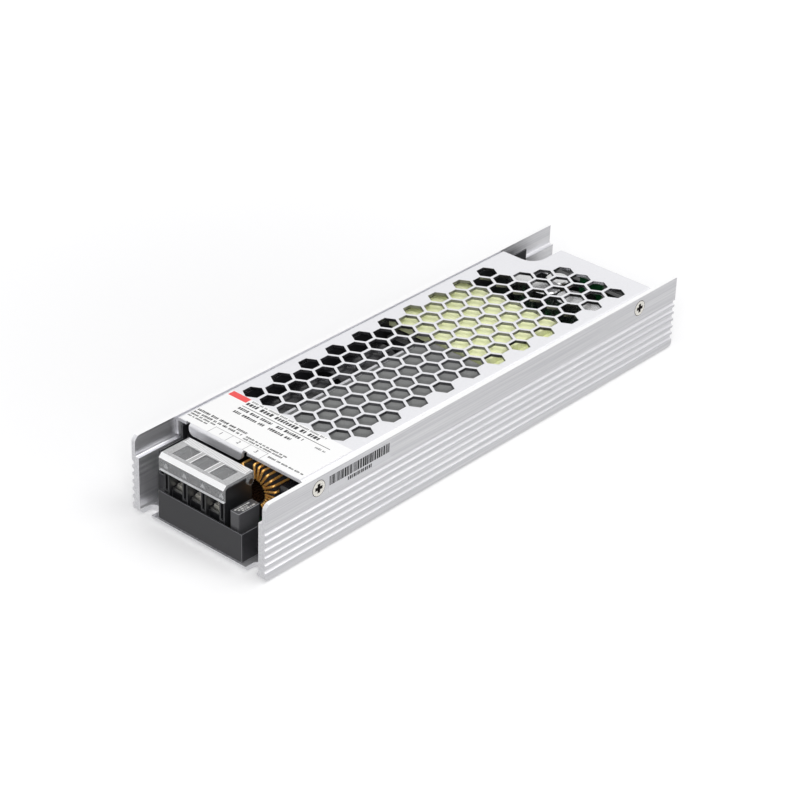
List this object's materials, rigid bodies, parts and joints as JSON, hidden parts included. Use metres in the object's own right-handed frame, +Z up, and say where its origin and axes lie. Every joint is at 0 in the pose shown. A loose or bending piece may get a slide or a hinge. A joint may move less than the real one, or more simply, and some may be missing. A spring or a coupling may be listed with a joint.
{
  "type": "switching power supply",
  "caption": "Slim enclosed switching power supply: grooved aluminium channel case, perforated cover, barrier terminals at each end and a clear hinged terminal flap.",
  "frame": {"origin": "centre of the underside", "axes": "+X across the case towards the side wall with the serial sticker, +Y along the case from the input terminals to the output terminals, +Z up towards the perforated cover"},
  "size_m": [0.0551, 0.194, 0.026],
  "materials": {
    "extruded_aluminium": "satin extruded, bare",
    "sheet_aluminium": "brushed sheet, bare",
    "screw_steel": "nickel plated",
    "black_film": "matte black insulating film",
    "circuit_board": "solder mask",
    "brass": "turned",
    "black_moulding": "moulded, satin",
    "tinned_brass": "tinned",
    "clear_plastic": "clear moulded, slightly frosted",
    "grey_moulding": "moulded box, satin",
    "yellow_moulding": "moulded box",
    "black_sleeve": "shrunk sleeve",
    "blue_epoxy": "dipped",
    "ferrite": "sintered ceramic, matte",
    "enamelled_copper": "enamelled wire",
    "thermal_rubber": "matte",
    "wound_coil": "enamelled wire",
    "yellow_tape": "polyester tape",
    "black_anodised": "black anodised",
    "can_aluminium": "drawn can with sleeve",
    "blue_moulding": "moulded",
    "white_moulding": "moulded",
    "green_lens": "tinted lens",
    "printed_label": "printed polyester film"
  },
  "bodies": {
    "housing": {"chassis": "extruded_aluminium", "cover": "sheet_aluminium", "cover_screws": "screw_steel", "insulating_tray": "black_film", "main_board": "circuit_board", "board_standoffs": "brass", "board_screws": "screw_steel", "input_terminal_block": "black_moulding", "input_terminals": "tinned_brass", "input_terminal_screws": "screw_steel", "output_terminal_block": "black_moulding", "output_terminals": "tinned_brass", "output_terminal_screws": "screw_steel", "film_capacitor": "grey_moulding", "x_capacitor": "yellow_moulding", "input_fuse": "black_moulding", "varistor": "black_sleeve", "disc_capacitors": "blue_epoxy", "choke_core": "ferrite", "choke_winding": "enamelled_copper", "bulk_capacitors": "black_sleeve", "heatsink": "sheet_aluminium", "thermal_pad": "thermal_rubber", "bridge_rectifier": "black_moulding", "power_transistors": "black_moulding", "boost_choke": "wound_coil", "transformer_core": "ferrite", "transformer_bobbin": "black_moulding", "transformer_winding": "enamelled_copper", "transformer_tape": "yellow_tape", "output_heatsink": "black_anodised", "output_rectifiers": "black_moulding", "output_capacitors": "can_aluminium", "output_choke": "wound_coil", "control_board": "circuit_board", "control_chip": "black_moulding", "trimmer_body": "blue_moulding", "indicator_led": "green_lens", "label": "printed_label", "serial_sticker": "printed_label"},
    "terminal_flap": {"input_terminal_cover": "clear_plastic"},
    "trim_rotor": {"trimmer_rotor": "white_moulding"}
  },
  "joints": [
    {"name": "flap_hinge", "type": "hinge", "parent": "housing", "child": "terminal_flap", "pos_m": [-0.003, -0.0856, 0.0216], "axis": [-1, 0, 0], "range_deg": [0, 90]},
    {"name": "trimmer_turn", "type": "hinge", "parent": "housing", "child": "trim_rotor", "pos_m": [0.0198, 0.0874, 0.0113], "axis": [0, 0, 1], "range_deg": [-105, 105]}
  ]
}
